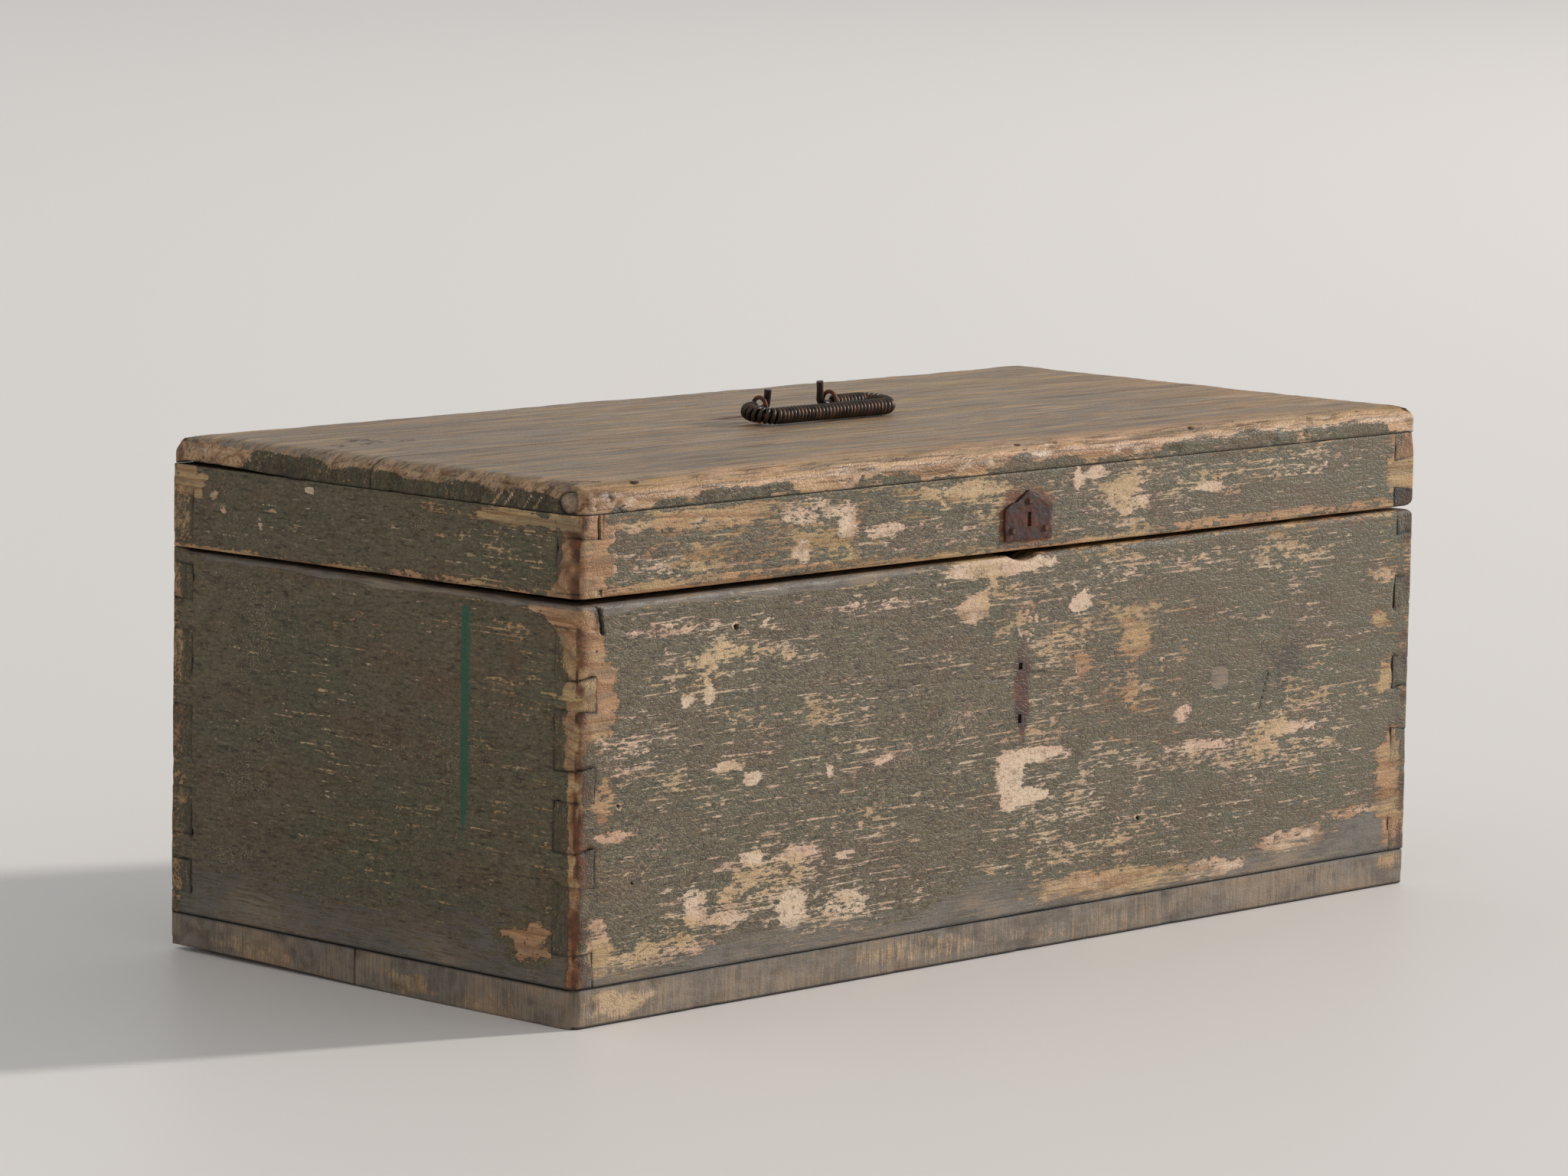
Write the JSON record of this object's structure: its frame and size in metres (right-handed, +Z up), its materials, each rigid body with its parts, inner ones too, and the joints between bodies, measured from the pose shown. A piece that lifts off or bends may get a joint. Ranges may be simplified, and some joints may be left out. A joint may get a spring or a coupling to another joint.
{
  "type": "tool chest",
  "caption": "Worn painted pine tool chest with dovetailed corners, a deep hinged lid, a coil-wrapped wire bail handle on top and a small sliding till inside.",
  "frame": {"origin": "middle of the chest's overall box, in the plane that it stands on", "axes": "+X along the front to the right, +Y from the front to the back, +Z up"},
  "size_m": [0.76, 0.3582, 0.3363],
  "materials": {
    "painted_pine": "grey-green paint, crackled and worn through to the wood",
    "weathered_pine": "weathered bare pine with traces of paint",
    "greyed_pine": "thin blue-grey paint brushed through to the wood",
    "bare_pine": "bare aged pine",
    "rusted_iron": "rusted wrought iron"
  },
  "bodies": {
    "carcase": {"front_board": "painted_pine", "back_board": "painted_pine", "left_end_board": "painted_pine", "right_end_board": "painted_pine", "base_board_front": "greyed_pine", "base_board_rear": "greyed_pine", "base_nails": "rusted_iron", "front_runner": "bare_pine", "back_runner": "bare_pine", "runner_nails": "rusted_iron", "left_hinge_lower_leaf": "rusted_iron", "right_hinge_lower_leaf": "rusted_iron", "hinge_pins": "rusted_iron", "lower_hinge_nails": "rusted_iron"},
    "lid": {"lid_front_rail": "painted_pine", "lid_back_rail": "painted_pine", "lid_left_rail": "painted_pine", "lid_right_rail": "painted_pine", "lid_top_board_front": "weathered_pine", "lid_top_board_rear": "weathered_pine", "lid_nails": "rusted_iron", "left_hinge_upper_leaf": "rusted_iron", "right_hinge_upper_leaf": "rusted_iron", "upper_hinge_nails": "rusted_iron", "clasp_plate": "rusted_iron", "clasp_plate_nails": "rusted_iron", "left_handle_eye": "rusted_iron", "right_handle_eye": "rusted_iron"},
    "handle": {"handle_bail": "rusted_iron", "handle_coil": "rusted_iron"},
    "till": {"till_front": "bare_pine", "till_back": "bare_pine", "till_left_end": "bare_pine", "till_right_end": "bare_pine", "till_bottom": "bare_pine", "till_divider": "bare_pine", "till_nails": "rusted_iron"}
  },
  "joints": [
    {"name": "lid_hinge", "type": "hinge", "parent": "carcase", "child": "lid", "pos_m": [0, 0.1749, 0.246], "axis": [-1, 0, 0], "range_deg": [0, 180]},
    {"name": "handle_swing", "type": "hinge", "parent": "lid", "child": "handle", "pos_m": [0, 0.0056, 0.32155], "axis": [-1, 0, 0], "range_deg": [0, 110]},
    {"name": "till_slide", "type": "slide", "parent": "carcase", "child": "till", "axis": [1, 0, 0], "range_m": [0, 0.486]}
  ]
}
